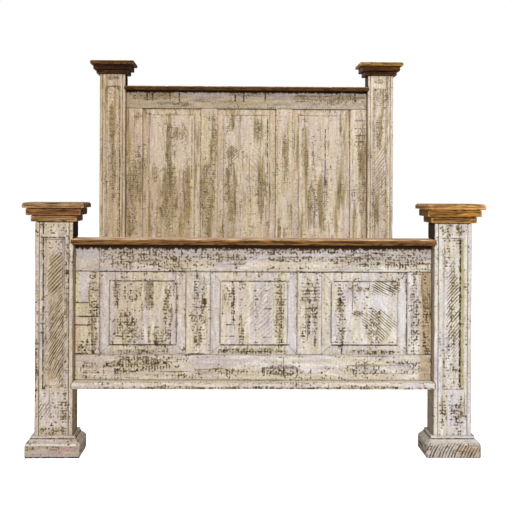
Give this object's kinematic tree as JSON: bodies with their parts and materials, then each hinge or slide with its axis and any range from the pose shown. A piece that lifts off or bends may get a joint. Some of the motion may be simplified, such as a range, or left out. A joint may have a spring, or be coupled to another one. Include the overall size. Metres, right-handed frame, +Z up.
{
  "type": "wooden bed frame",
  "caption": "Rustic wooden bed frame: panelled headboard and footboard between stout square posts with stepped caps, side rails and loose cross slats.",
  "frame": {"origin": "on the floor under the middle of the bed: bottom centre of the bounding box", "axes": "+Z up, +Y from the footboard to the headboard (the long way), +X to the right seen from the foot of the bed"},
  "size_m": [1.839, 2.486, 1.812],
  "materials": {
    "painted_wood": "scraped off-white paint over rough-sawn pine",
    "stained_wood": "brown stain with a low wax sheen",
    "bare_pine": "planed, unfinished",
    "steel": "zinc plated"
  },
  "bodies": {
    "bed_frame": {"foot_post_left_base": "painted_wood", "foot_post_left_cap_lower": "stained_wood", "foot_post_left_cap_middle": "stained_wood", "foot_post_left_cap_top": "stained_wood", "foot_post_left_core": "painted_wood", "foot_post_left_inner_board": "painted_wood", "foot_post_left_outer_board": "painted_wood", "foot_post_right_base": "painted_wood", "foot_post_right_cap_lower": "stained_wood", "foot_post_right_cap_middle": "stained_wood", "foot_post_right_cap_top": "stained_wood", "foot_post_right_core": "painted_wood", "foot_post_right_inner_board": "painted_wood", "foot_post_right_outer_board": "painted_wood", "footboard_bottom_rail": "painted_wood", "footboard_cap_rail": "stained_wood", "footboard_ledge": "painted_wood", "footboard_muntin_left": "painted_wood", "footboard_muntin_right": "painted_wood", "footboard_panel_centre": "painted_wood", "footboard_panel_left": "painted_wood", "footboard_panel_right": "painted_wood", "footboard_stile_left": "painted_wood", "footboard_stile_right": "painted_wood", "footboard_top_rail": "painted_wood", "head_post_left_base": "painted_wood", "head_post_left_cap_lower": "stained_wood", "head_post_left_cap_middle": "stained_wood", "head_post_left_cap_top": "stained_wood", "head_post_left_core": "painted_wood", "head_post_left_inner_board": "painted_wood", "head_post_left_outer_board": "painted_wood", "head_post_right_base": "painted_wood", "head_post_right_cap_lower": "stained_wood", "head_post_right_cap_middle": "stained_wood", "head_post_right_cap_top": "stained_wood", "head_post_right_core": "painted_wood", "head_post_right_inner_board": "painted_wood", "head_post_right_outer_board": "painted_wood", "headboard_bottom_rail": "painted_wood", "headboard_cap_rail": "stained_wood", "headboard_muntin_left": "painted_wood", "headboard_muntin_right": "painted_wood", "headboard_panel_centre": "painted_wood", "headboard_panel_left": "painted_wood", "headboard_panel_right": "painted_wood", "headboard_stile_left": "painted_wood", "headboard_stile_right": "painted_wood", "headboard_top_rail": "painted_wood", "post_slot_plates": "steel", "rail_hook_plates": "steel", "screws": "steel", "side_rail_left": "painted_wood", "side_rail_right": "painted_wood", "slat_cleats": "bare_pine"},
    "slat_1": {"slat_1": "bare_pine"},
    "slat_2": {"slat_2": "bare_pine"},
    "slat_3": {"slat_3": "bare_pine"},
    "slat_4": {"slat_4": "bare_pine"},
    "slat_5": {"slat_5": "bare_pine"}
  },
  "joints": [
    {"name": "slat_1_lift", "type": "slide", "parent": "bed_frame", "child": "slat_1", "axis": [0, 0, 1], "range_m": [0, 0.2]},
    {"name": "slat_2_lift", "type": "slide", "parent": "bed_frame", "child": "slat_2", "axis": [0, 0, 1], "range_m": [0, 0.2]},
    {"name": "slat_3_lift", "type": "slide", "parent": "bed_frame", "child": "slat_3", "axis": [0, 0, 1], "range_m": [0, 0.2]},
    {"name": "slat_4_lift", "type": "slide", "parent": "bed_frame", "child": "slat_4", "axis": [0, 0, 1], "range_m": [0, 0.2]},
    {"name": "slat_5_lift", "type": "slide", "parent": "bed_frame", "child": "slat_5", "axis": [0, 0, 1], "range_m": [0, 0.2]}
  ]
}
